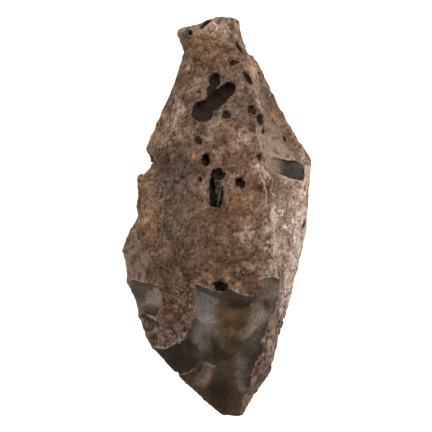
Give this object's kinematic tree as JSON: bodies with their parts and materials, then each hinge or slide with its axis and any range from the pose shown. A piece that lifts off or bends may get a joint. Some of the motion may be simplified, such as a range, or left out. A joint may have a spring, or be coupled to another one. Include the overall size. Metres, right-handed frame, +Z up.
{
  "type": "stone hand axe",
  "caption": "Flaked flint hand axe, its rough rind left on as a narrow grip and its wide end struck down to a point with glossy, scooped flake scars.",
  "frame": {"origin": "on the resting surface, under the middle of the plan", "axes": "+X across the axe to its blunt side, +Y along it from the point to the grip end, +Z up from the face it lies on"},
  "size_m": [0.076, 0.16, 0.0419],
  "materials": {
    "flint": "rough brown rind, glossy dark where flakes were struck off"
  },
  "bodies": {
    "root": {"hand_axe": "flint"}
  },
  "joints": []
}
